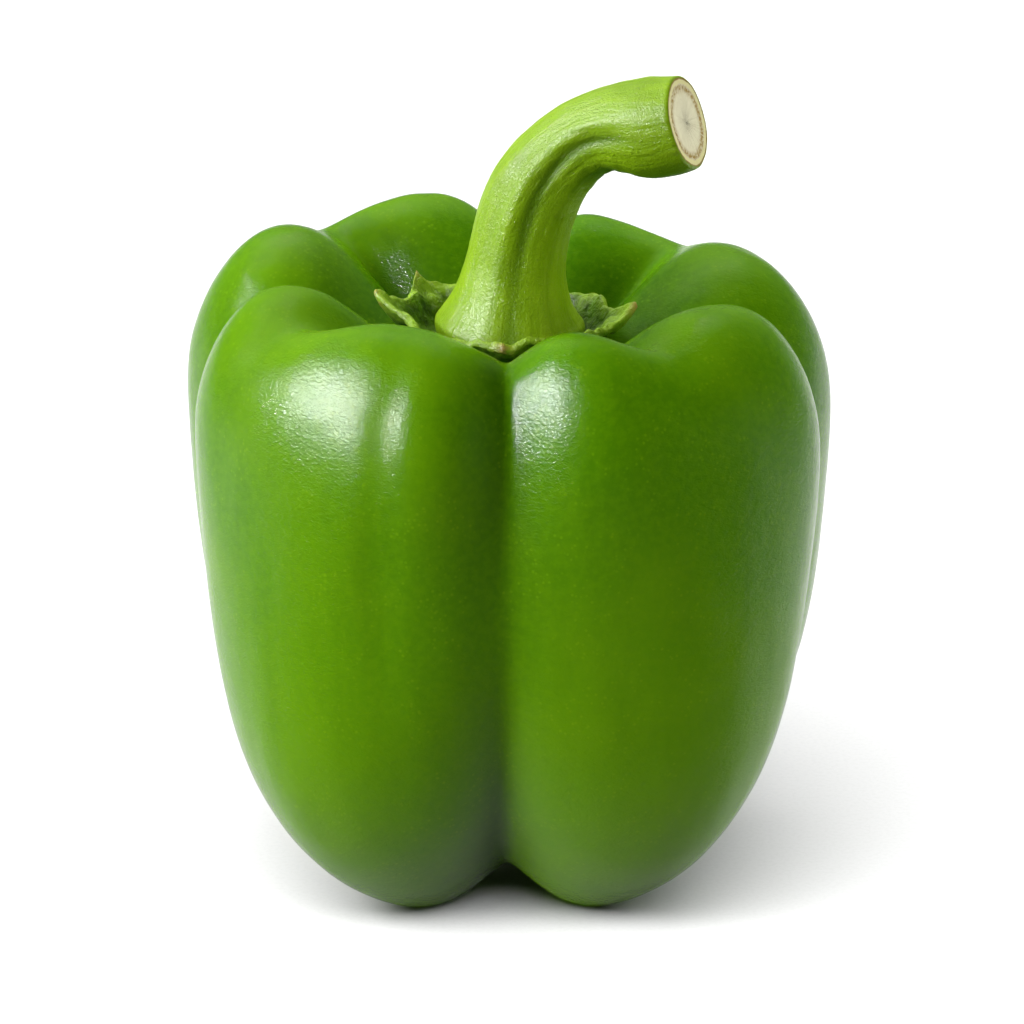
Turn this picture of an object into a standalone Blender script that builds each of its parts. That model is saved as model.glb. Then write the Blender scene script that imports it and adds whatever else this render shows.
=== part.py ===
"""Green bell pepper: a blocky four-lobed pod, the toothed calyx in its stem cavity, and the cut, bent stem."""
from math import atan2, cos, hypot, pi, radians, sin, sqrt, tau

import bmesh
import bpy
import numpy as np

MM = 0.001
NAME = "bell_pepper"

# ---- pod: half-profiles, (radius, height) in mm, from the middle of the base to the middle of the stem cavity
LOBE_PROFILE = [(0, 6), (7, 5), (11, 1), (16.5, -2.4), (36, 7.5), (46, 26), (46, 46), (46.5, 65.5),
                (45, 77), (37.5, 89), (27, 88.5), (19, 80.5), (10, 74.5), (0, 74)]
FURROW_PROFILE = [(0, 6), (8, 6.3), (13.5, 5.8), (19.5, 9.5), (30.5, 20.5), (36.5, 35), (39.7, 51),
                  (40, 65), (38.5, 75.5), (33, 83.5), (25, 82.5), (17, 77), (10, 74), (0, 74)]
GROOVE_PROFILE = LOBE_PROFILE[:6] + [(46, 46), (46.5, 64), (44, 80), (35, 87), (26, 79.5), (18, 75),
                                     (10, 74), (0, 74)]
SPANS = len(LOBE_PROFILE) - 1
FURROWS = [(-90, 24), (-5, 24), (88, 18), (183, 24)]   # azimuth of each furrow, half-angle at the shoulder
FURROW_HALF = 45                             # half-angle of every furrow low on the side
FURROW_SOFT = (3, 2)                         # rounding of its bottom, as an angle, low and at the shoulder
GROOVES = [(-144, -2), (-55, 1), (134, 0), (48, 0)]   # azimuth of each shoulder groove and its drift down
GROOVE_HALF, GROOVE_SOFT = 22, 2
SHOULDER = (0.35, 0.62)                      # where furrows tighten, as a share of the profile's length
RISES = [(-157, 1.3, 0.0), (-112, -0.3, 0.4), (-67, 0.6, -0.7), (-22, -1.2, 0.6),
         (22, -1.2, 0.0), (67, -1.8, -0.3), (112, 0.9, 0.3), (157, 1.3, 0.8)]   # azimuth, extra height, reach
RISE_HALF = 24
FLANKS = [(-135, -0.4), (-45, -0.8), (45, 1.8), (135, 0.2)]                     # azimuth, extra reach
FOOT_CUT = 0.4                               # the feet are worn flat up to this height
AROUND, ALONG = 104, 44

# ---- calyx: a thin saucer with one tooth for each swelling of the shoulder
GAP = 0.35                                   # clear space between one grown piece and the next
SEAT = 75.9                                  # underside of the calyx, below the stem
CALYX_THICK = 1.1
CALYX_INNER = 14.2                           # radius between two teeth
CALYX_LIFT = 2.4                             # the rim stands this far off the cavity's wall
TEETH = [(182, 3.5, 2.7), (137, 2.3, 3.8), (92, 2.4, 2.0), (40, 2.3, -0.6), (-4, 3.1, 2.6), (-58, 0.8, 0.3),
         (-92, 1.4, 0.2), (-138, 1.6, 1.2)]   # azimuth, length past the inner radius, extra lift of the tip
TOOTH_HALF = 20
CALYX_RINGS = [0, 5.5, 10.9, 12.6, 14.2]     # radii in mm, up to the teeth
TOOTH_RINGS = [0.35, 0.7, 1]                 # shares of a tooth's length
CALYX_AROUND = 90

# ---- stem: (distance along the bend, height, radius) in mm
STEM_HEADING = -21                           # azimuth the stem bends toward
STEM_PATH = [(0.2, SEAT + CALYX_THICK + GAP, 8.7), (0.2, 78.5, 9.9), (0.3, 79.8, 10.1), (0.4, 81.2, 9.2),
             (0.6, 83.4, 8.0), (1.0, 87.0, 6.95), (1.7, 91.4, 6.45), (2.7, 95.6, 6.3), (4.5, 99.7, 6.05),
             (7.1, 103.3, 5.6), (10.3, 106.3, 5.35), (13.7, 108.2, 5.4), (17.0, 108.9, 6.1),
             (20.2, 109.2, 6.75), (23.0, 109.7, 6.65), (25.7, 110.5, 6.3)]
STEM_RIDGES, STEM_RIDGE, STEM_AROUND = 6, 0.03, 30
STEM_STEPS = 3

FINISHES = {
    "pod": ((0.062, 0.218, 0.008, 1), 0.24),
    "calyx": ((0.040, 0.120, 0.010, 1), 0.50),
    "stem": ((0.212, 0.418, 0.020, 1), 0.38),
}


def ease(x):
    """Smooth step from 0 to 1."""
    x = min(max(x, 0.0), 1.0)
    return x * x * (3 - 2 * x)


def turn(a, b):
    """Angle from azimuth b (degrees) to azimuth a (radians), in radians, between -pi and pi."""
    return (a - radians(b) + pi) % tau - pi


def on_profile(profile, station):
    """Point of the smooth curve that a half-profile controls, mirrored across the axis at both ends."""
    points = [(-profile[1][0], profile[1][1])] + profile + [(-profile[-2][0], profile[-2][1])]
    first = min(int(station), SPANS - 1)
    f = station - first
    weights = ((1 - f) ** 3, 3 * f ** 3 - 6 * f * f + 4, -3 * f ** 3 + 3 * f * f + 3 * f + 1, f ** 3)
    near = points[first:first + 4]
    return tuple(sum(w * p[i] for w, p in zip(weights, near)) / 6 for i in (0, 1))


def dip(angle, half, soft):
    """1 at the middle of a furrow, easing to 0 at its edges."""
    return max(1 - (sqrt(angle * angle + soft * soft) - soft) / half, 0) ** 2


def pod_point(azimuth, share):
    """Place on the pod's skin, in mm; share runs from 0 at the base to 1 in the stem cavity."""
    station = share * SPANS
    level = (station - 1) / (SPANS - 2)
    lobe, furrow, groove = (on_profile(p, station) for p in (LOBE_PROFILE, FURROW_PROFILE, GROOVE_PROFILE))
    tight = ease((level - SHOULDER[0]) / (SHOULDER[1] - SHOULDER[0]))
    soft = radians(FURROW_SOFT[0] + (FURROW_SOFT[1] - FURROW_SOFT[0]) * tight)
    f = sum(dip(turn(azimuth, a), radians(FURROW_HALF + (half - FURROW_HALF) * tight), soft)
            for a, half in FURROWS)
    g = sum(dip(turn(azimuth, a + drift * (7 - 10 * level)), radians(GROOVE_HALF), radians(GROOVE_SOFT))
            for a, drift in GROOVES)
    r, z = (lo + (fu - lo) * f + (gr - lo) * g for lo, fu, gr in zip(lobe, furrow, groove))
    out = min(max(r / 25, 0), 1)
    for a, rise, reach in RISES:
        near = np.exp(-(turn(azimuth, a) / radians(RISE_HALF)) ** 2)
        z += near * rise * ease((level - 0.3) / 0.3) * out
        r += near * reach * ease(level / 0.5) * out
    for a, reach in FLANKS:
        r += reach * max(cos(turn(azimuth, a)), 0) ** 2 * sin(pi * min(max(level / 0.75, 0), 1))
    return r, max(z, FOOT_CUT) - FOOT_CUT


def floor_height(azimuth, radius):
    """Height of the stem cavity's wall at this distance from the axis."""
    wall = [pod_point(azimuth, 1 - k / 200) for k in range(45)]
    return float(np.interp(radius, [w[0] for w in wall], [w[1] for w in wall]))


def finish(name, mesh):
    """Puts a mesh in the object's collection with its own material, shaded smooth."""
    obj = bpy.data.objects.new(name, mesh)
    colour, roughness = FINISHES[name]
    material = bpy.data.materials.new(name)
    material.use_nodes = True
    shader = material.node_tree.nodes["Principled BSDF"]
    shader.inputs["Base Color"].default_value = colour
    shader.inputs["Roughness"].default_value = roughness
    mesh.materials.clear()
    mesh.materials.append(material)
    mesh.polygons.foreach_set("use_smooth", [True] * len(mesh.polygons))
    collection.objects.link(obj)
    return obj


def make_pod():
    """A sphere whose points are moved out to the lobes, furrows and stem cavity."""
    mesh, bm = bpy.data.meshes.new("pod"), bmesh.new()
    bmesh.ops.create_uvsphere(bm, u_segments=AROUND, v_segments=ALONG, radius=1)
    for v in bm.verts:
        azimuth, share = atan2(v.co.y, v.co.x), 1 - np.arccos(min(max(v.co.z, -1), 1)) / pi
        r, z = pod_point(azimuth, share)
        flat = hypot(v.co.x, v.co.y)
        v.co = (r * cos(azimuth) * MM, r * sin(azimuth) * MM, z * MM) if flat > 1e-6 else (0, 0, z * MM)
    bm.to_mesh(mesh)
    bm.free()
    return finish("pod", mesh)


def tooth(azimuth, column):
    """Length (column 1) or lift (column 2) of the calyx's teeth at this azimuth."""
    return sum(t[column] * max(1 - abs(turn(azimuth, t[0])) / radians(TOOTH_HALF), 0) ** 1.2 for t in TEETH)


def calyx_point(azimuth, radius, share):
    """Place on the underside of the calyx: the saucer out to its inner radius, then a share of a tooth."""
    r = radius + share * (0.5 + tooth(azimuth, 1))
    lift = CALYX_LIFT * max((r - CALYX_RINGS[2]) / (CALYX_INNER - CALYX_RINGS[2]), 0)
    z = max(SEAT, floor_height(azimuth, r) + GAP) + min(lift, CALYX_LIFT) + tooth(azimuth, 2) * share ** 2
    return r * cos(azimuth) * MM, r * sin(azimuth) * MM, z * MM


def make_calyx():
    """A saucer that follows the cavity's wall, its teeth curled up at the tips."""
    mesh, bm = bpy.data.meshes.new("calyx"), bmesh.new()
    centre = bm.verts.new((0, 0, SEAT * MM))
    last = None
    for radius, share in [(r, 0) for r in CALYX_RINGS[1:]] + [(CALYX_INNER, s) for s in TOOTH_RINGS]:
        places = [calyx_point(tau * i / CALYX_AROUND, radius, share) for i in range(CALYX_AROUND)]
        ring = [bm.verts.new(place) for place in places]
        for i in range(CALYX_AROUND):
            j = (i + 1) % CALYX_AROUND
            bm.faces.new((last[i], ring[i], ring[j], last[j]) if last else (centre, ring[i], ring[j]))
        last = ring
    bm.to_mesh(mesh)
    bm.free()
    obj = finish("calyx", mesh)
    shell = obj.modifiers.new("thickness", "SOLIDIFY")
    shell.thickness, shell.offset = CALYX_THICK * MM, 1
    return obj


def make_stem():
    """A ridged rod swept along the bend, flared where it meets the calyx and cut square at the end."""
    outline = bpy.data.curves.new("stem_outline", "CURVE")
    spline = outline.splines.new("POLY")
    spline.points.add(STEM_AROUND - 1)
    spline.use_cyclic_u = True
    for i, point in enumerate(spline.points):
        a = tau * i / STEM_AROUND
        r = (1 + STEM_RIDGE * cos(STEM_RIDGES * a)) * MM
        point.co = (r * cos(a), r * sin(a), 0, 1)
    section = bpy.data.objects.new("stem_outline", outline)
    rod = bpy.data.curves.new("stem_rod", "CURVE")
    rod.dimensions, rod.bevel_mode, rod.bevel_object, rod.use_fill_caps = "3D", "OBJECT", section, True
    rod.resolution_u = STEM_STEPS
    path = rod.splines.new("BEZIER")
    path.bezier_points.add(len(STEM_PATH) - 1)
    heading = radians(STEM_HEADING)
    for point, (reach, height, radius) in zip(path.bezier_points, STEM_PATH):
        point.co = (reach * cos(heading) * MM, reach * sin(heading) * MM, height * MM)
        point.radius = radius
        point.handle_left_type = point.handle_right_type = "AUTO"
    swept = bpy.data.objects.new("stem_rod", rod)
    collection.objects.link(swept)
    collection.objects.link(section)
    bpy.context.view_layer.update()
    mesh = bpy.data.meshes.new_from_object(swept.evaluated_get(bpy.context.evaluated_depsgraph_get()))
    for spare in (swept, section):
        bpy.data.objects.remove(spare)
    bm = bmesh.new()
    bm.from_mesh(mesh)
    bmesh.ops.remove_doubles(bm, verts=bm.verts, dist=1e-6)
    bmesh.ops.recalc_face_normals(bm, faces=bm.faces)
    for v in bm.verts:                       # the foot stands level on the calyx
        v.co.z = max(v.co.z, STEM_PATH[0][1] * MM)
    bm.to_mesh(mesh)
    bm.free()
    mesh.name = "stem"
    return finish("stem", mesh)


for old in list(bpy.data.objects):
    bpy.data.objects.remove(old)
collection = bpy.data.collections.new(NAME)
bpy.context.scene.collection.children.link(collection)

pieces = [make_pod(), make_calyx(), make_stem()]
span = np.array([v.co[:] for v in pieces[0].data.vertices])
middle = (span.min(axis=0) + span.max(axis=0)) / 2
for piece in pieces:                         # the pod's footprint is centred on the origin
    for v in piece.data.vertices:
        v.co.x -= middle[0]
        v.co.y -= middle[1]
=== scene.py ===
"""A green bell pepper: lobed pod, toothed calyx and cut stem, dressed and lit on a white table."""

from __future__ import annotations

import logging
from dataclasses import dataclass
from enum import Enum
from math import cos, pi, radians, sin
from typing import Sequence, Union

import bpy
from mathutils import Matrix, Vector


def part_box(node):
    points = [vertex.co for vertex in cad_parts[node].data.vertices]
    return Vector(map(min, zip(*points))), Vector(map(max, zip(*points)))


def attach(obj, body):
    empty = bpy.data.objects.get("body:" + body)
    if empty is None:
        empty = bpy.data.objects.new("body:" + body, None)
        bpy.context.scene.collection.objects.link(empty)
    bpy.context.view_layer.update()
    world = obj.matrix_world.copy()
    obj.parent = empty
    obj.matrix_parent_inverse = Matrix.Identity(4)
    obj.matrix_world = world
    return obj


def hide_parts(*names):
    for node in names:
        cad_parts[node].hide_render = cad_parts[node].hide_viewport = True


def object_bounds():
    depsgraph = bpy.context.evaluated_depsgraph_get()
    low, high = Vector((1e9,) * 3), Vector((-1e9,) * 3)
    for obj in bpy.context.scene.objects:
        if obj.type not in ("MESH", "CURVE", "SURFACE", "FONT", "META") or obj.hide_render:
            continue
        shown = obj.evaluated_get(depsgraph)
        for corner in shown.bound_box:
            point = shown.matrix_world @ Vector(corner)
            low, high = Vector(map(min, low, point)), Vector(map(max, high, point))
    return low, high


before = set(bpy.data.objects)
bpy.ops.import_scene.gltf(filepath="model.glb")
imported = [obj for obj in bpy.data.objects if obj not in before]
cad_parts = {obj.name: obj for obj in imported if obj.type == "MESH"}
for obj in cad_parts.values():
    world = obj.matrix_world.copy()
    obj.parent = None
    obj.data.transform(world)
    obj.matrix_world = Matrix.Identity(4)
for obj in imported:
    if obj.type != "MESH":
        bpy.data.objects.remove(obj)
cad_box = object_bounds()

MM = 0.001
DEGREE = pi / 180
AXIS = (-0.264, -0.876)  # the pepper's upright axis, in millimetres
log = logging.getLogger("bell_pepper")

Number = Union["Field", float]
Pair = tuple[float, float]
Triple = tuple[float, float, float]
Pairs = Sequence[Pair]
Triples = Sequence[Triple]
Colour = Triple


class Slot(Enum):
    """Material slots, one for each grown piece."""

    POD = "pod"
    CALYX = "calyx"
    STEM = "stem"


# ---------------------------------------------------------------- rules that shape a piece


class Varying:
    """What a node gives: a value that varies over a shape or a surface."""

    def __init__(self, tree: bpy.types.NodeTree, socket: bpy.types.NodeSocket) -> None:
        """Wraps an output socket.

        Args:
            tree: the node tree that holds the socket.
            socket: the output that carries the value.
        """
        self.tree = tree
        self.socket = socket


def plug(tree: bpy.types.NodeTree, socket: bpy.types.NodeSocket, value: object) -> None:
    """Links a varying value or an output to an input, or sets the input's own value.

    Args:
        tree: the node tree.
        socket: the input.
        value: a Field, a Place, an output socket or a plain value.
    """
    if isinstance(value, Varying):
        tree.links.new(value.socket, socket)
    elif isinstance(value, bpy.types.NodeSocket):
        tree.links.new(value, socket)
    else:
        socket.default_value = value


class Field(Varying):
    """A number that varies over a shape or a surface."""

    def math(self, operation: str, *others: Number) -> Field:
        """Adds one math node.

        Args:
            operation: the node's operation name.
            others: the second and third numbers, where it takes them.

        Returns:
            The node's result.
        """
        node = self.tree.nodes.new("ShaderNodeMath")
        node.operation = operation
        for socket, value in zip(node.inputs, (self, *others)):
            plug(self.tree, socket, value)
        return Field(self.tree, node.outputs[0])

    def __add__(self, other: Number) -> Field:
        """Sum."""
        return self.math("ADD", other)

    __radd__ = __add__

    def __sub__(self, other: Number) -> Field:
        """Difference."""
        return self.math("SUBTRACT", other)

    def __rsub__(self, other: Number) -> Field:
        """Difference, with this number taken from a plain one."""
        return self.math("MULTIPLY", -1.0) + other

    def __mul__(self, other: Number) -> Field:
        """Product."""
        return self.math("MULTIPLY", other)

    __rmul__ = __mul__

    def __truediv__(self, other: Number) -> Field:
        """Quotient."""
        return self.math("DIVIDE", other)

    def __pow__(self, power: float) -> Field:
        """Power."""
        return self.math("POWER", power)

    def floored(self) -> Field:
        """The whole number below."""
        return self.math("FLOOR")

    def at_most(self, top: Number) -> Field:
        """The smaller of this and top."""
        return self.math("MINIMUM", top)

    def at_least(self, bottom: Number) -> Field:
        """The larger of this and bottom."""
        return self.math("MAXIMUM", bottom)

    def clipped(self, bottom: float = 0.0, top: float = 1.0) -> Field:
        """This number held between two limits."""
        return self.at_least(bottom).at_most(top)

    def eased(self, start: float, end: float) -> Field:
        """Smooth step.

        Args:
            start: where it leaves 0.
            end: where it reaches 1.

        Returns:
            0 before start, 1 after end, smooth between them.
        """
        node = self.tree.nodes.new("ShaderNodeMapRange")
        node.interpolation_type = "SMOOTHSTEP"
        for name, value in (("Value", self), ("From Min", start), ("From Max", end)):
            plug(self.tree, node.inputs[name], value)
        return Field(self.tree, node.outputs[0])

    def turned_from(self, azimuth: Number) -> Field:
        """Angle from an azimuth.

        Args:
            azimuth: the azimuth to measure from, in degrees.

        Returns:
            The angle in degrees, between -180 and 180.
        """
        return (self - azimuth).math("WRAP", 180.0, -180.0)

    def bell(self, half: Number) -> Field:
        """1 at 0, falling smoothly away over half either side."""
        ratio = self / half
        return (ratio * ratio * -1.0).math("EXPONENT")


class Place(Varying):
    """A vector that varies over a shape."""

    def math(self, operation: str, *others: object) -> Place:
        """Adds one vector-math node.

        Args:
            operation: the node's operation name.
            others: the second vector, or the scale of SCALE.

        Returns:
            The node's vector result.
        """
        node = self.tree.nodes.new("ShaderNodeVectorMath")
        node.operation = operation
        plug(self.tree, node.inputs[0], self)
        if operation == "SCALE":
            plug(self.tree, node.inputs["Scale"], others[0])
        elif others:
            plug(self.tree, node.inputs[1], others[0])
        return Place(self.tree, node.outputs[0])

    def __add__(self, other: Place) -> Place:
        """Sum."""
        return self.math("ADD", other)

    def __mul__(self, scale: Number) -> Place:
        """This vector made longer or shorter."""
        return self.math("SCALE", scale)

    def parts(self) -> tuple[Field, Field, Field]:
        """Its x, y and z."""
        node = self.tree.nodes.new("ShaderNodeSeparateXYZ")
        plug(self.tree, node.inputs[0], self)
        return tuple(Field(self.tree, out) for out in node.outputs)


class NodeMaker:
    """Adds nodes to one tree."""

    group: bpy.types.NodeTree

    def add(self, kind: str, inputs: dict[str, object] | None = None, **settings: object) -> bpy.types.Node:
        """Adds a node.

        Args:
            kind: the node's type name.
            inputs: what goes into its sockets, by name.
            settings: its properties.

        Returns:
            The node.
        """
        node = self.group.nodes.new(kind)
        for name, value in settings.items():
            setattr(node, name, value)
        for name, value in (inputs or {}).items():
            plug(self.group, node.inputs[name], value)
        return node


class ShapeTree(NodeMaker):
    """A geometry-nodes tree with named inputs, which bakes to a plain mesh on one object."""

    def __init__(self, name: str) -> None:
        """Starts a tree that takes a geometry and gives one.

        Args:
            name: the tree's name.
        """
        self.group = bpy.data.node_groups.new(name, "GeometryNodeTree")
        self.face = self.group.interface
        self.face.new_socket(name="Geometry", in_out="INPUT", socket_type="NodeSocketGeometry")
        self.face.new_socket(name="Geometry", in_out="OUTPUT", socket_type="NodeSocketGeometry")
        self.start = self.group.nodes.new("NodeGroupInput")
        self.end = self.group.nodes.new("NodeGroupOutput")
        self.given: dict[str, object] = {}

    @property
    def net(self) -> bpy.types.NodeSocket:
        """The geometry that comes in: a piece's drawn profiles or path."""
        return self.start.outputs["Geometry"]

    def ask(self, label: str, kind: str, value: object) -> bpy.types.NodeSocket:
        """Adds a named input.

        Args:
            label: its name.
            kind: Float, Int, Material or Object.
            value: what the modifier gives it.

        Returns:
            The socket inside the tree.
        """
        item = self.face.new_socket(name=label, in_out="INPUT", socket_type=f"NodeSocket{kind}")
        self.given[item.identifier] = value
        return self.start.outputs[label]

    def size(self, label: str, value: float) -> Field:
        """A named size input, as a field."""
        return Field(self.group, self.ask(label, "Float", value))

    def position(self) -> Place:
        """Where each point is."""
        return Place(self.group, self.add("GeometryNodeInputPosition").outputs[0])

    def normal(self) -> Place:
        """Which way the surface faces."""
        return Place(self.group, self.add("GeometryNodeInputNormal").outputs[0])

    def place(self, x: Number, y: Number, z: Number) -> Place:
        """A vector from its three numbers."""
        node = self.add("ShaderNodeCombineXYZ", {"X": x, "Y": y, "Z": z})
        return Place(self.group, node.outputs[0])

    def noise(self, where: Place, scale: float, detail: float = 2.0, seed: float = 0.0) -> Field:
        """Cloudy noise centred on 0.

        Args:
            where: the place it is read at.
            scale: how many waves to a unit length.
            detail: how many finer layers it has.
            seed: a fixed number that picks the pattern.

        Returns:
            A field mostly between -0.5 and 0.5.
        """
        node = self.add(
            "ShaderNodeTexNoise",
            {"Vector": where, "W": seed, "Scale": scale, "Detail": detail, "Roughness": 0.5},
            noise_dimensions="4D",
        )
        return Field(self.group, node.outputs[0]) - 0.5

    def moved(self, shape: object, where: Place) -> bpy.types.NodeSocket:
        """The shape with its points put at a place."""
        return self.add("GeometryNodeSetPosition", {"Geometry": shape, "Position": where}).outputs[0]

    def swollen(self, shape: object, height: Field) -> bpy.types.NodeSocket:
        """The shape with its points pushed out along the surface's normal."""
        push = self.normal() * height
        return self.add("GeometryNodeSetPosition", {"Geometry": shape, "Offset": push}).outputs[0]

    def marked(self, shape: object, name: str, value: Field | Place) -> bpy.types.NodeSocket:
        """The shape with a named attribute for its material.

        Args:
            shape: the geometry.
            name: the attribute's name.
            value: what it holds.

        Returns:
            The geometry with the attribute on its points.
        """
        kind = "FLOAT" if isinstance(value, Field) else "FLOAT_VECTOR"
        node = self.add("GeometryNodeStoreNamedAttribute", {"Geometry": shape, "Name": name}, data_type=kind)
        plug(self.group, node.inputs["Value"], value)
        return node.outputs[0]

    def ball(self, around: int, along: int) -> tuple[bpy.types.NodeSocket, Field, Field]:
        """A closed sphere to shape by rule.

        Args:
            around: segments around it.
            along: rings from pole to pole.

        Returns:
            The sphere, its azimuth in degrees, and its share of the way from the bottom pole to the top one.
        """
        sizes = {
            "Segments": self.ask("Segments around", "Int", around),
            "Rings": self.ask("Rings along", "Int", along),
            "Radius": 1.0,
        }
        sphere = self.add("GeometryNodeMeshUVSphere", sizes).outputs["Mesh"]
        x, y, z = self.position().parts()
        azimuth = y.math("ARCTAN2", x) * (1.0 / DEGREE)
        share = 1.0 - z.clipped(-1.0, 1.0).math("ARCCOSINE") * (1.0 / pi)
        return sphere, azimuth, share

    def bake(self, shape: object, piece: bpy.types.Object, finish: bpy.types.Material) -> None:
        """Ends the tree and turns the piece into its plain mesh.

        Args:
            shape: the finished geometry.
            piece: the object that holds the drawn profiles or path.
            finish: the material it wears.
        """
        smooth = self.add("GeometryNodeSetShadeSmooth", {"Geometry": shape}).outputs[0]
        real = self.add("GeometryNodeRealizeInstances", {"Geometry": smooth}).outputs[0]
        wear = self.ask("Finish", "Material", finish)
        dressed = self.add("GeometryNodeSetMaterial", {"Geometry": real, "Material": wear}).outputs[0]
        plug(self.group, self.end.inputs["Geometry"], dressed)
        modifier = piece.modifiers.new(self.group.name, "NODES")
        modifier.node_group = self.group
        for identifier, value in self.given.items():
            modifier[identifier] = value
        graph = bpy.context.evaluated_depsgraph_get()
        mesh = bpy.data.meshes.new_from_object(
            piece.evaluated_get(graph), preserve_all_data_layers=True, depsgraph=graph
        )
        piece.modifiers.clear()
        piece.data = mesh
        mesh.name = piece.name


def drawn(name: str, strands: Sequence[Triples], linked: bool = False) -> bpy.types.Object:
    """An object that holds a piece's drawn points, strand after strand.

    Args:
        name: the object's name.
        strands: points in millimetres.
        linked: whether each strand is joined by edges.

    Returns:
        The object, in the scene.
    """
    points = [Vector(p) * MM for strand in strands for p in strand]
    edges = []
    first = 0
    for strand in strands if linked else []:
        edges += [(first + i, first + i + 1) for i in range(len(strand) - 1)]
        first += len(strand)
    mesh = bpy.data.meshes.new(name)
    mesh.from_pydata(points, edges, [])
    piece = bpy.data.objects.new(name, mesh)
    bpy.context.scene.collection.objects.link(piece)
    return piece


def settle(piece: bpy.types.Object, node: Slot) -> None:
    """Puts a finished piece on the frame in place of its plain solid.

    Args:
        piece: the finished object.
        node: the solid it stands for, which is also its material slot.
    """
    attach(piece, "root")
    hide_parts(node.value)
    low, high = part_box(node.value)
    log.info("%s: %d faces, solid %s to %s", piece.name, len(piece.data.polygons), tuple(low), tuple(high))


# ---------------------------------------------------------------- finishes


class FinishTree(NodeMaker):
    """The nodes of one material, with a Principled shader at the end."""

    def __init__(
        self, name: str, roughness: float, shine: float, wax: float = 0.0, wax_roughness: float = 0.1
    ) -> None:
        """Starts a material.

        Args:
            name: its name.
            roughness: the shader's own roughness.
            shine: the strength of the shader's own reflections.
            wax: how much clear wax lies on it.
            wax_roughness: how rough that wax is.
        """
        self.material = bpy.data.materials.new(name)
        self.material.use_nodes = True
        self.group = self.material.node_tree
        self.shader = self.group.nodes["Principled BSDF"]
        self.shader.inputs["Roughness"].default_value = roughness
        self.shader.inputs["Specular IOR Level"].default_value = shine
        self.shader.inputs["Coat Weight"].default_value = wax
        self.shader.inputs["Coat Roughness"].default_value = wax_roughness

    def where(self, stretch: Triple = (1.0, 1.0, 1.0)) -> bpy.types.NodeSocket:
        """Place on the object, in metres, stretched for a pattern with a direction."""
        coords = self.add("ShaderNodeTexCoord").outputs["Object"]
        return self.add("ShaderNodeMapping", {"Vector": coords, "Scale": stretch}).outputs[0]

    def mark(self, name: str) -> Field:
        """A number stored on the surface when the piece was shaped."""
        return Field(self.group, self.add("ShaderNodeAttribute", attribute_name=name).outputs["Fac"])

    def mark_place(self, name: str, stretch: Triple) -> bpy.types.NodeSocket:
        """A vector stored on the surface, stretched for a pattern that follows it."""
        vector = self.add("ShaderNodeAttribute", attribute_name=name).outputs["Vector"]
        return self.add("ShaderNodeMapping", {"Vector": vector, "Scale": stretch}).outputs[0]

    def noise(
        self, where: object, scale: float, detail: float = 2.0, roughness: float = 0.5, twist: float = 0.0
    ) -> Field:
        """Cloudy noise.

        Args:
            where: the place it is read at.
            scale: how many waves to the metre.
            detail: how many finer layers it has.
            roughness: how strong those are.
            twist: how far it is pulled about.

        Returns:
            A field mostly between 0.2 and 0.8.
        """
        values = {"Vector": where, "Scale": scale, "Detail": detail}
        values |= {"Roughness": roughness, "Distortion": twist}
        return Field(self.group, self.add("ShaderNodeTexNoise", values).outputs[0])

    def cells(self, where: object, scale: float) -> Field:
        """Distance to the nearest of many scattered dots."""
        values = {"Vector": where, "Scale": scale}
        return Field(self.group, self.add("ShaderNodeTexVoronoi", values).outputs["Distance"])

    def blend(self, amount: Number, first: object, second: object) -> bpy.types.NodeSocket:
        """A colour between two.

        Args:
            amount: 0 for the first, 1 for the second.
            first: a colour, or an output that carries one.
            second: the other colour.

        Returns:
            The output that carries the mixed colour.
        """
        node = self.add("ShaderNodeMix", data_type="RGBA")
        plug(self.group, node.inputs["Factor"], amount)
        for socket, colour in ((node.inputs[6], first), (node.inputs[7], second)):
            plug(self.group, socket, (*colour, 1.0) if isinstance(colour, tuple) else colour)
        return node.outputs[2]

    def relief(self, height: Field, depth: float, below: object | None = None) -> bpy.types.NodeSocket:
        """Fine relief.

        Args:
            height: the pattern, from 0 to 1.
            depth: how deep it is, in metres.
            below: coarser relief that it lies on.

        Returns:
            The output that carries the tilted normal.
        """
        node = self.add("ShaderNodeBump", {"Height": height, "Distance": depth, "Strength": 1.0})
        if below is not None:
            plug(self.group, node.inputs["Normal"], below)
        return node.outputs[0]

    def paint(self, colour: object, relief: object, gloss: object | None = None) -> bpy.types.Material:
        """Joins the patterns to the shader.

        Args:
            colour: the colour all over.
            relief: the tilted normal.
            gloss: the roughness, where it varies.

        Returns:
            The material.
        """
        plug(self.group, self.shader.inputs["Base Color"], colour)
        plug(self.group, self.shader.inputs["Normal"], relief)
        plug(self.group, self.shader.inputs["Coat Normal"], relief)
        if gloss is not None:
            plug(self.group, self.shader.inputs["Roughness"], gloss)
        return self.material


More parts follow.
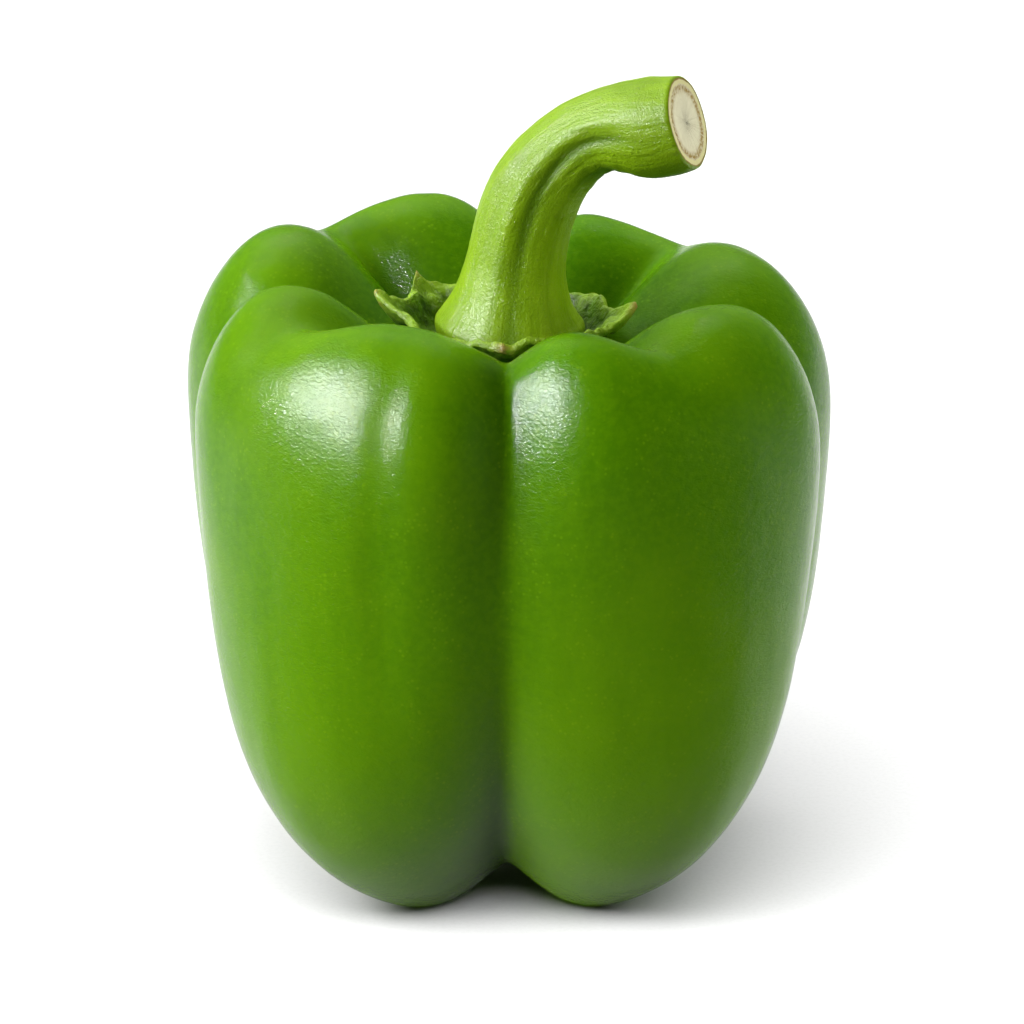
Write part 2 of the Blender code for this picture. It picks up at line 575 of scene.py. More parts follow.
@dataclass(frozen=True)
class WaxySkin:
    """The pod's smooth, waxy green skin with its fine crinkle and pale specks, and painted shade and painted
    bounce light in its colour.
    """

    green: Colour = (0.056, 0.166, 0.0003)
    light: Colour = (0.094, 0.215, 0.0008)
    dark: Colour = (0.023, 0.091, 0.0002)
    speck: Colour = (0.150, 0.290, 0.006)
    roughness: float = 0.26
    shine: float = 0.03
    wax: float = 0.28
    wax_roughness: float = 0.15
    patch_scale: float = 24.0
    streak_scale: float = 260.0
    mottle_scale: float = 900.0
    dot_scale: float = 1150.0
    swell_scale: float = 190.0
    swell_depth: float = 0.14 * MM
    ripple_scale: float = 1600.0
    ripple_depth: float = 0.085 * MM
    glow: float = 0.12
    glow_reach: Colour = (0.6, 1.0, 0.15)
    glow_depth: float = 2.0 * MM

    def make(self) -> bpy.types.Material:
        """Builds the material.

        Returns:
            The pod's material.
        """
        t = FinishTree("waxy_skin", self.roughness, self.shine, self.wax, self.wax_roughness)
        here = t.where()
        patches = t.noise(here, self.patch_scale, 3.0, 0.55).eased(0.36, 0.66)
        ground = t.blend(patches * 0.8, self.green, self.light)
        streaks = t.noise(t.where((1.0, 1.0, 0.16)), self.streak_scale, 3.0, 0.6).eased(0.42, 0.75)
        ground = t.blend(streaks * 0.22, ground, self.dark)
        # painted shade: the skin is darker along the furrows, where shade falls
        painted_furrow_shade = t.mark("furrow").clipped(0.0, 1.0) ** 1.5
        ground = t.blend(painted_furrow_shade * 0.35, ground, self.dark)
        level = t.mark("level")
        # painted bounce light: the skin is lighter towards the bottom, as light from the table below would
        # make it
        ground = t.blend((1.0 - level.eased(0.30, 0.62)) * 0.42, ground, self.light)
        # painted shade: a darker band on the upper body, below the lighter crests
        ground = t.blend((level - 0.60).bell(0.10) * 0.22, ground, self.dark)
        # painted shade: the skin is darker inside the stem cavity, on the faces of the far lobes
        ground = t.blend(level.eased(0.77, 0.85) * 0.45, ground, self.dark)
        mottle = t.noise(here, self.mottle_scale, 3.0, 0.65).eased(0.35, 0.7)
        ground = t.blend(mottle * 0.34, ground, self.light)
        dots = 1.0 - t.cells(here, self.dot_scale).eased(0.10, 0.34)
        swells = t.noise(here, self.swell_scale)
        colour = t.blend(dots * swells.eased(0.46, 0.60) * 0.32, ground, self.speck)
        ripple = t.noise(t.where((1.0, 1.0, 1.8)), self.ripple_scale, 2.5, 0.55, 0.6)
        skin = t.relief(ripple, self.ripple_depth, t.relief(swells, self.swell_depth))
        t.shader.inputs["Subsurface Weight"].default_value = self.glow
        t.shader.inputs["Subsurface Radius"].default_value = self.glow_reach
        t.shader.inputs["Subsurface Scale"].default_value = self.glow_depth
        return t.paint(colour, skin)


@dataclass(frozen=True)
class StemSkin:
    """The stem's yellow-green, lengthwise wrinkled skin, with its pale cut face and painted shade in its
    hollows.
    """

    green: Colour = (0.165, 0.290, 0.002)
    light: Colour = (0.240, 0.370, 0.010)
    dark: Colour = (0.045, 0.105, 0.001)
    pith: Colour = (0.980, 0.940, 0.640)
    ring: Colour = (0.400, 0.270, 0.050)
    rim: Colour = (0.860, 0.820, 0.400)
    dry: Colour = (0.330, 0.190, 0.050)
    roughness: float = 0.40
    face_roughness: float = 0.35
    shine: float = 0.15
    wax: float = 0.14
    wax_roughness: float = 0.20
    fibre_scale: float = 1100.0
    fibre_depth: float = 0.20 * MM
    wrinkle_scale: float = 2200.0
    wrinkle_depth: float = 0.16 * MM

    def make(self) -> bpy.types.Material:
        """Builds the material.

        Returns:
            The stem's material.
        """
        t = FinishTree("stem_skin", self.roughness, self.shine, self.wax, self.wax_roughness)
        here = t.where()
        fibre = t.noise(t.mark_place("grain", (1.0, 1.0, 0.14)), self.fibre_scale, 3.0, 0.6, 0.4)
        ground = t.blend(fibre.eased(0.40, 0.72) * 0.38, self.green, self.light)
        # painted shade: the skin is darker in the stem's hollows
        ground = t.blend(t.mark("hollow").clipped() * 0.75, ground, self.dark)
        cloud = t.noise(here, 120.0, 2.0).eased(0.45, 0.75)
        ground = t.blend(cloud * 0.25, ground, self.dark)
        bands = t.noise(t.mark_place("grain", (1.0, 1.0, 0.05)), 380.0, 2.0).eased(0.54, 0.72)
        ground = t.blend(bands * 0.22, ground, self.dark)
        face = t.mark("face")
        out = t.mark("out") + (t.noise(here, 900.0, 2.0) - 0.5) * 0.06
        pith = t.blend(t.noise(here, 1100.0, 3.0).eased(0.45, 0.75) * 0.10, self.pith, self.ring)
        specks = t.noise(here, 2600.0, 2.0).eased(0.35, 0.60) * 0.6 + 0.4
        cut = t.blend((out - 0.77).bell(0.09) * specks, pith, self.ring)
        cut = t.blend(out.eased(0.83, 0.87), cut, self.rim)
        cut = t.blend(out.eased(0.94, 0.965), cut, self.dry)
        colour = t.blend(face, ground, cut)
        lengthwise = t.relief(fibre, self.fibre_depth)
        wrinkle = t.noise(t.mark_place("grain", (1.0, 1.0, 1.0)), self.wrinkle_scale, 3.0, 0.6, 0.8)
        skin = t.relief(wrinkle, self.wrinkle_depth, lengthwise)
        return t.paint(colour, skin, face * self.face_roughness + self.roughness)


@dataclass(frozen=True)
class CalyxLeaf:
    """The calyx's dull, wrinkled dark green, with pale ribs and dried tips."""

    green: Colour = (0.100, 0.220, 0.003)
    light: Colour = (0.225, 0.370, 0.012)
    dark: Colour = (0.030, 0.074, 0.002)
    dried: Colour = (0.300, 0.190, 0.050)
    roughness: float = 0.48
    shine: float = 0.2
    wax: float = 0.10
    wax_roughness: float = 0.25
    fold_scale: float = 420.0
    crease_scale: float = 800.0
    crease_depth: float = 0.55 * MM
    grit_scale: float = 2600.0
    grit_depth: float = 0.10 * MM

    def make(self) -> bpy.types.Material:
        """Builds the material.

        Returns:
            The calyx's material.
        """
        t = FinishTree("calyx_leaf", self.roughness, self.shine, self.wax, self.wax_roughness)
        here = t.where()
        folds = t.noise(here, self.fold_scale, 3.0, 0.6, 0.4)
        ground = t.blend(folds.eased(0.35, 0.70), self.dark, self.green)
        ground = t.blend(t.mark("rib").clipped() * 0.7, ground, self.light)
        edge = t.mark("edge").clipped()
        ground = t.blend(edge * 0.75, ground, self.light)
        specks = t.noise(here, 2400.0, 2.0).eased(0.55, 0.68)
        ground = t.blend(specks * 0.25, ground, self.light)
        dried = t.mark("tip").clipped() * t.noise(here, 700.0, 2.0).eased(0.30, 0.55)
        colour = t.blend(dried, ground, self.dried)
        crease = t.relief(t.noise(here, self.crease_scale, 3.0, 0.6, 0.8), self.crease_depth)
        return t.paint(colour, t.relief(t.noise(here, self.grit_scale), self.grit_depth, crease))


@dataclass(frozen=True)
class WhiteTable:
    """The plain matt table the pepper stands on, lit until it reads white.

    Its front part is dimmed in the skin's reflections, as a dark studio floor would be.
    """

    plain: Colour = (0.30, 0.30, 0.30)
    fleck: Colour = (0.29, 0.29, 0.29)
    dimmed: float = 0.07
    fall_off: Pair = (-0.075, 0.005)
    roughness: float = 0.7
    shine: float = 0.1
    fleck_scale: float = 1500.0

    def make(self) -> bpy.types.Material:
        """Builds the material.

        Returns:
            The table's material.
        """
        t = FinishTree("white_table", self.roughness, self.shine)
        flecks = t.noise(t.where(), self.fleck_scale).eased(0.4, 0.7)
        ground = t.blend(flecks, self.plain, self.fleck)
        split = t.add("ShaderNodeSeparateXYZ", {"Vector": t.where()})
        front = 1.0 - Field(t.group, split.outputs["Y"]).eased(*self.fall_off)
        seen = Field(t.group, t.add("ShaderNodeLightPath").outputs["Is Glossy Ray"])
        dark = tuple(c * self.dimmed for c in self.plain)
        plug(t.group, t.shader.inputs["Base Color"], t.blend(front * seen, ground, dark))
        return t.material


# ---------------------------------------------------------------- the pod


@dataclass
class Pod:
    """The fruit: four lobes, each parted at the shoulder, round a sunken stem cavity.

    Profiles run from the middle of the base, up the side, to the middle of the cavity, as
    (radius, height) in millimetres. The rest start with an azimuth in degrees: a furrow goes on with its
    half-width at the shoulder, a groove with its sideways drift, a swelling with its rise and its push
    outwards, a flank with its push, and a crease with its half-width, depth, start and end.
    """

    lobe: Pairs = (
        (0, 6), (7, 5), (11, 1), (16.5, -2.4), (36, 7.5), (46, 26), (46, 46), (46.5, 65.5),
        (45, 77), (37.5, 89), (27, 88.5), (19, 80.5), (10, 74.5), (0, 74),
    )
    furrow: Pairs = (
        (0, 6), (8, 6.3), (13.5, 5.8), (19.5, 9.5), (30.5, 20.5), (36.5, 35), (39.7, 51), (40, 65),
        (38.5, 75.5), (33, 83.5), (25, 82.5), (17, 77), (10, 74), (0, 74),
    )
    groove: Pairs = (
        (0, 6), (7, 5), (11, 1), (16.5, -2.4), (36, 7.5), (46, 26), (46, 46), (46.5, 64),
        (44, 80), (35, 87), (26, 79.5), (18, 75), (10, 74), (0, 74),
    )
    furrows: Pairs = ((-90, 24), (-5, 24), (88, 18), (183, 24))
    furrow_half: float = 45
    furrow_soft: Pair = (3, 2)
    shoulder: Pair = (0.35, 0.62)
    grooves: Pairs = ((-144, -2), (-55, 1), (134, 0), (48, 0))
    groove_half: float = 22
    groove_soft: float = 2
    groove_slant: Pair = (7, -10)
    swelling_half: float = 24
    swellings: Triples = (
        (-157, 1.3, 0.0), (-112, -0.3, 0.4), (-67, 0.6, -0.7), (-22, -1.2, 0.6),
        (22, -1.2, 0.0), (67, -1.8, -0.3), (112, 0.9, 0.3), (157, 1.3, 0.8),
    )
    flanks: Pairs = ((-135, -0.4), (-45, -0.8), (45, 1.8), (135, 0.2))
    creases: tuple[tuple[float, float, float, float, float], ...] = (
        (-112, 3.6, 0.50, 0.42, 0.80), (-102.5, 6.4, -0.95, 0.42, 0.80),
        (-88, 9.5, 1.2, 0.50, 0.85), (-62, 7, 0.35, 0.55, 0.75), (160, 7, 0.40, 0.55, 0.80),
    )
    foot_cut: float = 0.4
    core: float = 25
    around: int = 352
    along: int = 252

    def build(self) -> bpy.types.Object:
        """Shapes the pod by its rule.

        Returns:
            The pod, as a plain mesh.
        """
        spans = len(self.lobe) - 1
        strands = []
        for line in (self.lobe, self.furrow, self.groove):
            before = (-line[1][0], line[1][1])
            after = (-line[-2][0], line[-2][1])
            strands.append([(r, 0, z) for r, z in (before, *line, after)])
        piece = drawn("pod_skin", strands)
        tree = ShapeTree("pod_rule")
        sphere, azimuth, share = tree.ball(self.around, self.along)
        station = share * spans
        level = (station - 1.0) / (spans - 2.0)
        lobe, furrow, groove = self.profiles(tree, station, spans)

        tight = level.eased(*self.shoulder)
        soft = tight * (self.furrow_soft[1] - self.furrow_soft[0]) + self.furrow_soft[0]
        in_furrow: Number = 0.0
        for a, half in self.furrows:
            width = tight * (half - self.furrow_half) + self.furrow_half
            in_furrow = self.dip(azimuth.turned_from(a), width, soft) + in_furrow
        slant = level * self.groove_slant[1] + self.groove_slant[0]
        in_groove: Number = 0.0
        for a, drift in self.grooves:
            beside = azimuth.turned_from(slant * drift + a)
            in_groove = self.dip(beside, self.groove_half, self.groove_soft) + in_groove
        line = lobe + (furrow + lobe * -1.0) * in_furrow + (groove + lobe * -1.0) * in_groove
        radius, _, height = line.parts()
        out = (radius / (self.core * MM)).clipped()
        lift = level.eased(0.3, 0.6) * out
        reach = level.eased(0.0, 0.5) * out
        for a, rise, push in self.swellings:
            near = azimuth.turned_from(a).bell(self.swelling_half)
            height = height + near * lift * (rise * MM)
            radius = radius + near * reach * (push * MM)
        for a, width, depth, low, high in self.creases:
            fold = azimuth.turned_from(a).bell(width) * (level - (low + high) / 2).bell((high - low) / 2)
            radius = radius - fold * (depth * MM)
        belly = (level / 0.75).clipped() * pi
        for a, push in self.flanks:
            facing = (azimuth.turned_from(a) * DEGREE).math("COSINE").at_least(0.0)
            radius = radius + facing * facing * belly.math("SINE") * (push * MM)
        height = height.at_least(self.foot_cut * MM) - self.foot_cut * MM
        angle = azimuth * DEGREE
        spot = tree.place(
            radius * angle.math("COSINE") + AXIS[0] * MM,
            radius * angle.math("SINE") + AXIS[1] * MM,
            height,
        )
        # the furrow mark also carries the skin's painted furrow shade
        shape = tree.marked(sphere, "furrow", in_furrow)
        # the level mark also carries the skin's painted shade and painted bounce light
        shape = tree.marked(shape, "level", level)
        shape = tree.moved(shape, spot)
        shape = tree.swollen(shape, self.unevenness(tree))
        tree.bake(shape, piece, WaxySkin().make())
        return piece

    def profiles(self, tree: ShapeTree, station: Field, spans: int) -> list[Place]:
        """Reads the three drawn profiles as smooth curves.

        Args:
            tree: the pod's tree, whose input geometry holds their points.
            station: how far along them, in spans.
            spans: how many spans each has.

        Returns:
            For each profile, its (radius, 0, height) at the station.
        """
        first = station.floored().clipped(0.0, spans - 1.0)
        f = station - first
        g = 1.0 - f
        weights = (
            g * g * g,
            f * f * f * 3.0 - f * f * 6.0 + 4.0,
            (f * f - f * f * f + f) * 3.0 + 1.0,
            f * f * f,
        )
        lines = []
        for strand in range(3):
            total: Place | None = None
            for step, weight in enumerate(weights):
                read = tree.add("GeometryNodeSampleIndex", data_type="FLOAT_VECTOR", domain="POINT")
                plug(tree.group, read.inputs["Geometry"], tree.net)
                plug(tree.group, read.inputs["Value"], tree.position())
                plug(tree.group, read.inputs["Index"], first + float(strand * (spans + 3) + step))
                part = Place(tree.group, read.outputs[0]) * (weight / 6.0)
                total = part if total is None else total + part
            lines.append(total)
        return lines

    @staticmethod
    def dip(angle: Field, half: Number, soft: Number) -> Field:
        """The cross-section of a furrow.

        Args:
            angle: the angle from its middle.
            half: half its width.
            soft: how far its bottom is rounded.

        Returns:
            1 at the middle, easing to 0 at half its width.
        """
        depth = 1.0 - ((angle * angle + soft * soft).math("SQRT") - soft) / half
        depth = depth.at_least(0.0)
        return depth * depth

    @staticmethod
    def unevenness(tree: ShapeTree) -> Field:
        """How far the skin stands off its rule.

        Args:
            tree: the pod's tree.

        Returns:
            Its slow swells, faint upright ribs and small waves, in metres.
        """
        here = tree.position()
        x, y, z = here.parts()
        upright = tree.place(x, y, z * 0.12)
        clear = z.eased(0.001, 0.008)
        swell = tree.noise(here, 26.0, 1.0, 3.1) * (0.9 * MM)
        ribs = tree.noise(upright, 150.0, 1.0, 7.7) * (0.30 * MM)
        waves = tree.noise(here, 130.0, 1.0, 1.3) * (0.12 * MM)
        return (swell + ribs + waves) * clear


# ---------------------------------------------------------------- the calyx


@dataclass
class Calyx:
    """The toothed green cup round the stem's foot, which follows the cavity's wall.

    Each tooth is (azimuth, length past the inner radius, lift of its tip), in degrees and millimetres.
    """

    teeth: Triples = (
        (182, 3.5, 2.7), (137, 2.3, 3.8), (92, 2.4, 2.0), (40, 2.3, -0.6),
        (-4, 3.1, 2.6), (-58, 0.8, 0.3), (-92, 1.4, 0.2), (-138, 1.6, 1.2),
    )
    tooth_half: float = 22
    rib_half: float = 5.5
    rim_from: float = 0.93
    probe: float = 200
    seat: float = 76.1
    foot: float = 10.9
    inner: float = 14.2
    lift: float = 2.4
    gap: float = 0.3
    thick: float = 1.0
    around: int = 420
    along: int = 190

    def build(self, pod: bpy.types.Object) -> bpy.types.Object:
        """Shapes the calyx on the pod.

        Args:
            pod: the finished pod, whose cavity it lines.

        Returns:
            The calyx, as a plain mesh.
        """
        piece = drawn("calyx_cup", [[(0, 0, 0)]])
        tree = ShapeTree("calyx_rule")
        sphere, azimuth, share = tree.ball(self.around, self.along)
        outward = (1.0 - (share * 2.0 - 1.0).math("ABSOLUTE")) ** 0.8
        top = share.math("GREATER_THAN", 0.5)
        angle = azimuth * DEGREE
        spread = tree.place(angle.math("COSINE"), angle.math("SINE"), 0.0)

        length: Number = 0.5
        rise: Number = 0.0
        rib: Number = 0.0
        tip: Number = 0.0
        wobble = tree.noise(spread, 2.2, 2.0, 4.2) * 1.4
        for a, reach, up in self.teeth:
            away = azimuth.turned_from(a).math("ABSOLUTE")
            point = (1.0 - away / self.tooth_half).at_least(0.0)
            length = point ** 1.5 * reach + length
            rise = point ** 1.4 * up + rise
            rib = azimuth.turned_from(a).bell(self.rib_half) + rib
            tip = point ** 6.0 + tip
        edge_at = length + wobble + self.inner
        radius = edge_at * outward
        past = ((radius - self.inner) / (edge_at - self.inner)).clipped()
        x = radius * angle.math("COSINE") * MM + AXIS[0] * MM
        y = radius * angle.math("SINE") * MM + AXIS[1] * MM
        wall = self.wall(tree, pod, tree.place(x, y, self.probe * MM))
        seat = (wall / MM + self.gap).at_least(self.seat)
        curl = radius.eased(self.foot, self.inner) * self.lift + rise * past * past
        folds = tree.noise(tree.place(x, y, 0.0), 420.0, 2.0, 2.4)
        radial = tree.noise(spread, 7.0, 2.0, 8.8)
        loose = radius.eased(self.foot - 1.0, self.inner)
        ripple = (folds * 2.0 + radial * 2.2) * loose
        rim = (outward - self.rim_from) / (1.0 - self.rim_from)
        rim = (1.0 - rim.clipped() ** 2.0).math("SQRT")
        rolled = (outward - self.rim_from).bell(0.05) * 0.45
        body = (loose * rib * 0.55 + self.thick + rolled) * rim
        height = (seat + curl + ripple * 0.6 + loose * 0.5 + top * body) * MM
        spot = tree.place(x, y, height)

        shape = tree.marked(sphere, "rib", rib * loose * top)
        shape = tree.marked(shape, "edge", outward.eased(0.86, 0.95))
        shape = tree.marked(shape, "tip", tip * outward.eased(self.rim_from, 1.0))
        shape = tree.moved(shape, spot)
        tree.bake(shape, piece, CalyxLeaf().make())
        return piece

    @staticmethod
    def wall(tree: ShapeTree, pod: bpy.types.Object, above: Place) -> Field:
        """Height of the cavity's wall straight below each place.

        Args:
            tree: the calyx's tree.
            pod: the finished pod.
            above: places over the cavity.

        Returns:
            The wall's height, in metres.
        """
        target = tree.add("GeometryNodeObjectInfo", {"Object": tree.ask("Pod", "Object", pod)})
        ray = tree.add("GeometryNodeRaycast")
        plug(tree.group, ray.inputs["Target Geometry"], target.outputs["Geometry"])
        plug(tree.group, ray.inputs["Source Position"], above)
        ray.inputs["Ray Direction"].default_value = (0.0, 0.0, -1.0)
        ray.inputs["Ray Length"].default_value = 1.0
        return Place(tree.group, ray.outputs["Hit Position"]).parts()[2]


# ---------------------------------------------------------------- the stem


@dataclass
class Stem:
    """The ridged stem: flared at its foot, bent over, swollen below the cut.

    The path is (distance along the bend, height, radius) in millimetres. A ridge is (angle from the
    bend's outer side, half-width, height); a negative height is a hollow.
    """

    path: Triples = (
        (0.2, 77.5, 8.7), (0.2, 78.5, 9.9), (0.3, 79.8, 10.1), (0.4, 81.2, 9.2), (0.6, 83.4, 8.0),
        (1.0, 87.0, 6.95), (1.7, 91.4, 6.45), (2.7, 95.6, 6.3), (4.5, 99.7, 6.05), (7.1, 103.3, 5.6),
        (10.3, 106.3, 5.35), (13.7, 108.2, 5.4), (17.0, 108.9, 6.1), (20.2, 109.2, 6.75),
        (23.0, 109.7, 6.65), (25.7, 110.5, 6.3),
    )
    heading: float = -21
    ridges: Triples = (
        (-30, 25, 0.28), (30, 22, 0.15), (89, 12, 0.40), (111, 8, -0.27),
        (150, 20, 0.32), (205, 22, 0.32), (262, 22, 0.34), (300, 14, -0.18),
    )
    twist: float = 20
    foot_share: float = 0.04
    face_share: float = 0.90
    bevel_from: float = 0.992
    bevel: float = 0.035
    dish: float = 0.25
    grain_size: Pair = (6, 50)
    around: int = 160
    along: int = 400

    def build(self) -> bpy.types.Object:
        """Shapes the stem along its path.

        Returns:
            The stem, as a plain mesh.
        """
        turn = radians(self.heading)
        ahead = (cos(turn), sin(turn))
        points = [(s * ahead[0] + AXIS[0], s * ahead[1] + AXIS[1], z) for s, z, _ in self.path]
        piece = drawn("stem_skin", [points], linked=True)
        thickness = piece.data.attributes.new("girth", "FLOAT", "POINT")
        thickness.data.foreach_set("value", [r * MM for _, _, r in self.path])

        tree = ShapeTree("stem_rule")
        sphere, azimuth, share = tree.ball(self.around, self.along)
        along = ((share - self.foot_share) / (self.face_share - self.foot_share)).clipped()
        out = (share / self.foot_share).at_most((1.0 - share) / (1.0 - self.face_share)).clipped()
        face = share.eased(self.face_share, self.face_share + 0.004)
        spine, heading, thick = self.sampled(tree, along)
        side = tree.place(sin(turn), -cos(turn), 0.0)
        outer = side.math("CROSS_PRODUCT", heading)
        angle = azimuth * DEGREE
        compass = outer * angle.math("COSINE") + side * angle.math("SINE")
        flute = (1.0 - along.eased(0.0, 0.25)) * 0.5 + along.eased(0.10, 0.45) * 0.9 + 0.35
        flute = flute * (1.0 - along.eased(0.74, 0.92) * 0.85)
        bumps: Number = 0.0
        hollow: Number = 0.0
        twisted = azimuth + along.eased(0.35, 0.85) * self.twist
        for a, half, high in self.ridges:
            near = twisted.turned_from(a).bell(half)
            bumps = near * high + bumps
            if high < 0:
                hollow = near + hollow
        girth, length = (size * MM for size in self.grain_size)
        grain = tree.place(angle.math("COSINE") * girth, angle.math("SINE") * girth, along * length)
        gx, gy, gz = grain.parts()
        lengthwise = tree.noise(tree.place(gx, gy, gz * 0.10), 330.0, 2.0, 5.5) * 0.38
        crosswise = tree.noise(tree.place(gx, gy, gz * 2.5), 170.0, 2.0, 9.1) * 0.22
        fine = tree.noise(tree.place(gx, gy, gz * 0.22), 900.0, 2.0, 6.4)
        fine = fine * ((along - 0.62).bell(0.2) * 0.22 + 0.08)
        inner_side = azimuth.turned_from(180.0).bell(70.0) * (along - 0.62).bell(0.16)
        radius = thick + (bumps * flute + lengthwise + fine + crosswise * (inner_side * 2.0 + 0.6)) * MM
        rounding = ((along - self.bevel_from) / (1.0 - self.bevel_from)).clipped() ** 2.0
        rounding = 1.0 - rounding * self.bevel
        dish = (1.0 - out * out) * face * (self.dish * MM)
        reach = radius * out * rounding
        spot = spine + compass * reach + heading * (dish * -1.0)
        x, y, z = spot.parts()
        level = tree.place(x, y, z.at_least(self.path[0][1] * MM))

        shape = tree.marked(sphere, "grain", grain)
        # the hollow mark carries painted shade into the stem's hollows
        shape = tree.marked(shape, "hollow", hollow * flute * (1.0 - face))
        shape = tree.marked(shape, "face", face)
        shape = tree.marked(shape, "out", out)
        shape = tree.moved(shape, level)
        tree.bake(shape, piece, StemSkin().make())
        return piece

    @staticmethod
    def sampled(tree: ShapeTree, along: Field) -> tuple[Place, Place, Field]:
        """Reads the drawn path as a smooth curve.

        Args:
            tree: the stem's tree, whose input geometry is the path.
            along: how far along it, from 0 to 1.

        Returns:
            The point on the path, the way it heads, and the stem's radius there, in metres.
        """
        line = tree.add("GeometryNodeMeshToCurve", {"Mesh": tree.net}).outputs[0]
        bent = tree.add("GeometryNodeCurveSplineType", {"Curve": line}, spline_type="CATMULL_ROM")
        fine = tree.add("GeometryNodeResampleCurve", {"Curve": bent.outputs[0], "Count": 240}).outputs[0]
        girth = tree.add("GeometryNodeInputNamedAttribute", {"Name": "girth"}, data_type="FLOAT").outputs[0]
        read = tree.add("GeometryNodeSampleCurve", {"Curves": fine, "Factor": along}, mode="FACTOR")
        plug(tree.group, read.inputs["Value"], girth)
        return (
            Place(tree.group, read.outputs["Position"]),
            Place(tree.group, read.outputs["Tangent"]),
            Field(tree.group, read.outputs["Value"]),
        )


# ---------------------------------------------------------------- table, light and camera


class Lit(Enum):
    """What a softbox lights; the stem's group holds the calyx too."""

    PEPPER = "pepper"
    POD = "pod"
    STEM = "stem"
    TABLE = "table"


@dataclass(frozen=True)
class Softbox:
    """A soft studio light that faces the pepper and either shades what it lights or only shines on it.

    Azimuth 0 is along +X and 90 along +Y; angles are in degrees, sizes in metres and power in watts.
    """

    name: str
    azimuth: float
    elevation: float
    distance: float
    width: float
    height: float
    power: float
    lights: Lit
    shine: bool = False

    def hang(self, target: Vector, groups: dict[Lit, bpy.types.Collection]) -> None:
        """Puts the light up.

        Args:
            target: the point it faces.
            groups: the objects that each choice of what to light stands for.
        """
        lamp = bpy.data.lights.new(self.name, "AREA")
        lamp.shape = "RECTANGLE"
        lamp.size = self.width
        lamp.size_y = self.height
        lamp.energy = self.power
        lamp.cycles.use_multiple_importance_sampling = not self.shine
        holder = bpy.data.objects.new(self.name, lamp)
        a = radians(self.azimuth)
        e = radians(self.elevation)
        away = Vector((cos(a) * cos(e), sin(a) * cos(e), sin(e)))
        holder.location = target + away * self.distance
        holder.rotation_euler = away.to_track_quat("Z", "Y").to_euler()
        holder.visible_glossy = self.shine
        holder.visible_diffuse = not self.shine
        holder.light_linking.receiver_collection = groups[self.lights]
        bpy.context.scene.collection.objects.link(holder)


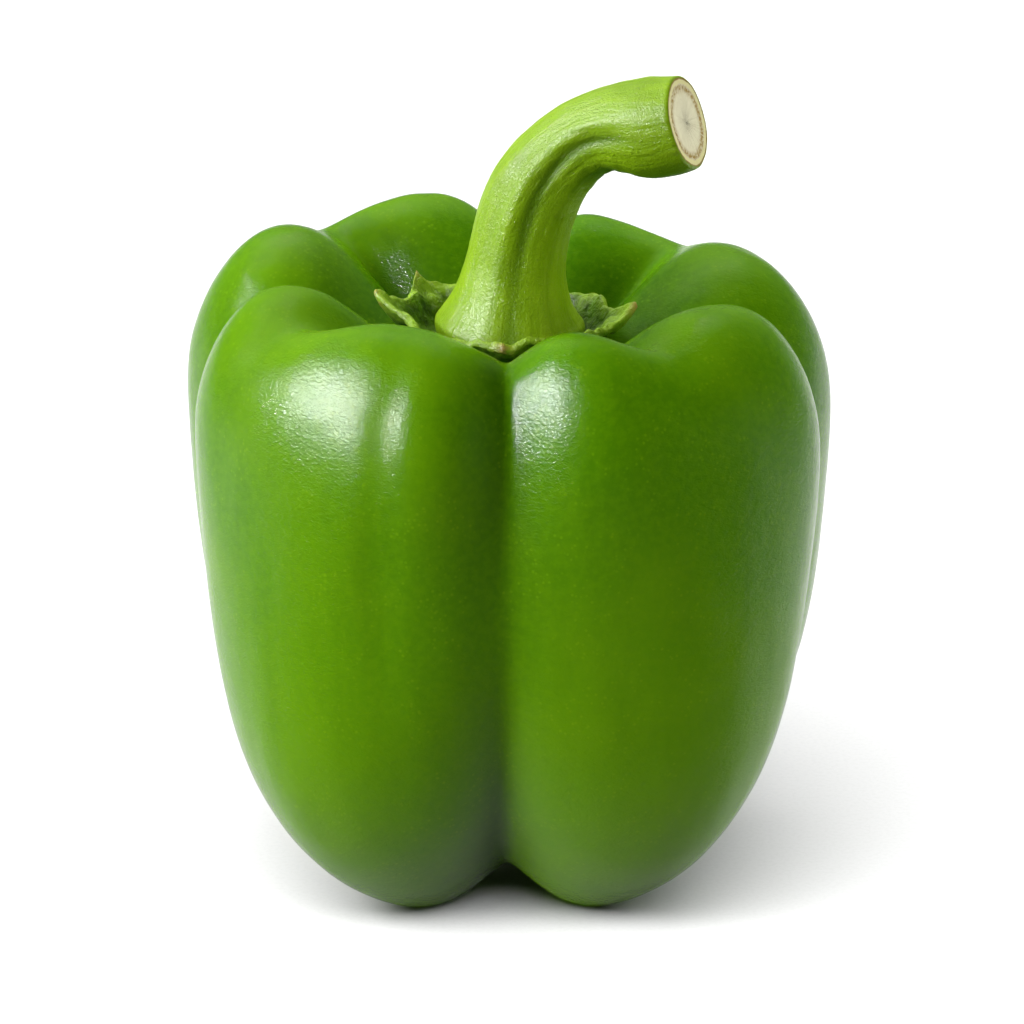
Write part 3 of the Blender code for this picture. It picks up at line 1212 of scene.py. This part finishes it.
@dataclass(frozen=True)
class Studio:
    """The white table, the lights and the camera."""

    softboxes: tuple[Softbox, ...] = (
        Softbox("key_softbox", -158, 40, 1.2, 0.95, 0.55, 13.5, Lit.PEPPER),
        Softbox("key_shine", -158, 29, 1.2, 0.98, 0.58, 80.0, Lit.PEPPER, shine=True),
        Softbox("back_softbox", 100, 42, 1.5, 1.6, 1.2, 43.0, Lit.PEPPER),
        Softbox("back_shine", 110, 52, 1.5, 1.8, 0.8, 3.0, Lit.PEPPER, shine=True),
        Softbox("top_softbox", 150, 66, 1.5, 2.0, 2.0, 8.0, Lit.PEPPER),
        Softbox("low_fill", -142, 3, 1.3, 1.0, 0.4, 27.0, Lit.POD),
        Softbox("side_fill", -2, 6, 1.4, 1.2, 0.5, 22.0, Lit.POD),
        Softbox("stem_left", -158, 14, 1.3, 0.8, 0.5, 19.0, Lit.STEM),
        Softbox("stem_right", -20, 14, 1.4, 0.8, 0.5, 12.0, Lit.STEM),
        Softbox("table_wash", 180, 78, 1.6, 3.0, 3.0, 126.0, Lit.TABLE),
        Softbox("left_wash", -160, 34, 1.6, 1.2, 0.8, 36.0, Lit.TABLE),
        Softbox("right_wash", -25, 34, 1.6, 1.2, 0.8, 16.0, Lit.TABLE),
        Softbox("front_wash", -100, 48, 1.6, 2.4, 0.8, 125.0, Lit.TABLE),
    )
    room_front: float = 0.03
    room_back: float = 0.18
    view_target: Triple = (0.00035, -0.00047, 0.05231)
    view_down: float = 18.88
    view_distance: float = 0.9
    view_lens: float = 230.3
    view_sensor: float = 36.0
    table_half: float = 3.0

    def lay_table(self) -> bpy.types.Object:
        """Lays the white table under the pepper.

        Returns:
            The table.
        """
        h = self.table_half
        mesh = bpy.data.meshes.new("white_table")
        mesh.from_pydata([(-h, -h, 0), (h, -h, 0), (h, h, 0), (-h, h, 0)], [], [(0, 1, 2, 3)])
        table = bpy.data.objects.new("white_table", mesh)
        mesh.materials.append(WhiteTable().make())
        bpy.context.scene.collection.objects.link(table)
        table.visible_diffuse = False
        return table

    def light(self, target: Vector, pieces: Sequence[bpy.types.Object], table: bpy.types.Object) -> None:
        """Hangs the softboxes and sets the room's own light, dimmer at the front.

        Args:
            target: the point the lights face.
            pieces: the pepper's pieces, the pod first.
            table: the table.
        """
        pod, *top = pieces
        members = {Lit.PEPPER: pieces, Lit.POD: [pod], Lit.STEM: top, Lit.TABLE: [table]}
        groups = {}
        for kind, lit in members.items():
            groups[kind] = bpy.data.collections.new(f"lit_{kind.value}")
            for member in lit:
                groups[kind].objects.link(member)
        for box in self.softboxes:
            box.hang(target, groups)
        world = bpy.data.worlds.new("white_room")
        bpy.context.scene.world = world
        world.use_nodes = True
        tree = world.node_tree
        way = tree.nodes.new("ShaderNodeTexCoord")
        split = tree.nodes.new("ShaderNodeSeparateXYZ")
        tree.links.new(way.outputs["Generated"], split.inputs[0])
        level = Field(tree, split.outputs["Y"]).eased(0.1, 0.9)
        strength = level * (self.room_back - self.room_front) + self.room_front
        plug(tree, tree.nodes["Background"].inputs["Strength"], strength)
        tree.nodes["Background"].inputs["Color"].default_value = (1.0, 1.0, 1.0, 1.0)

    def aim_camera(self) -> None:
        """Places the camera."""
        camera = bpy.data.objects.new("camera", bpy.data.cameras.new("camera"))
        camera.data.lens = self.view_lens
        camera.data.sensor_width = self.view_sensor
        camera.data.clip_start = 0.05
        camera.data.clip_end = 20.0
        down = radians(self.view_down)
        back = Vector((0.0, -cos(down), sin(down))) * self.view_distance
        camera.location = Vector(self.view_target) + back
        camera.rotation_euler = (pi / 2 - down, 0.0, 0.0)
        bpy.context.scene.collection.objects.link(camera)
        bpy.context.scene.camera = camera

    def set_up(self, pieces: Sequence[bpy.types.Object]) -> None:
        """Lays the table, then sets the lights and the camera round the pepper's box.

        Args:
            pieces: the pepper's pieces.
        """
        low, high = (Vector(corner) for corner in cad_box)
        self.light((low + high) / 2, pieces, self.lay_table())
        self.aim_camera()
        bpy.context.scene.view_settings.view_transform = "Standard"
        bpy.context.scene.view_settings.look = "None"


def main() -> None:
    """Builds the pod, the calyx and the stem, then the studio round them."""
    logging.basicConfig(level=logging.INFO, format="%(name)s: %(message)s")
    pod = Pod().build()
    pieces = {Slot.POD: pod, Slot.CALYX: Calyx().build(pod), Slot.STEM: Stem().build()}
    for node, piece in pieces.items():
        settle(piece, node)
    Studio().set_up(list(pieces.values()))


if __name__ == "__main__":
    main()
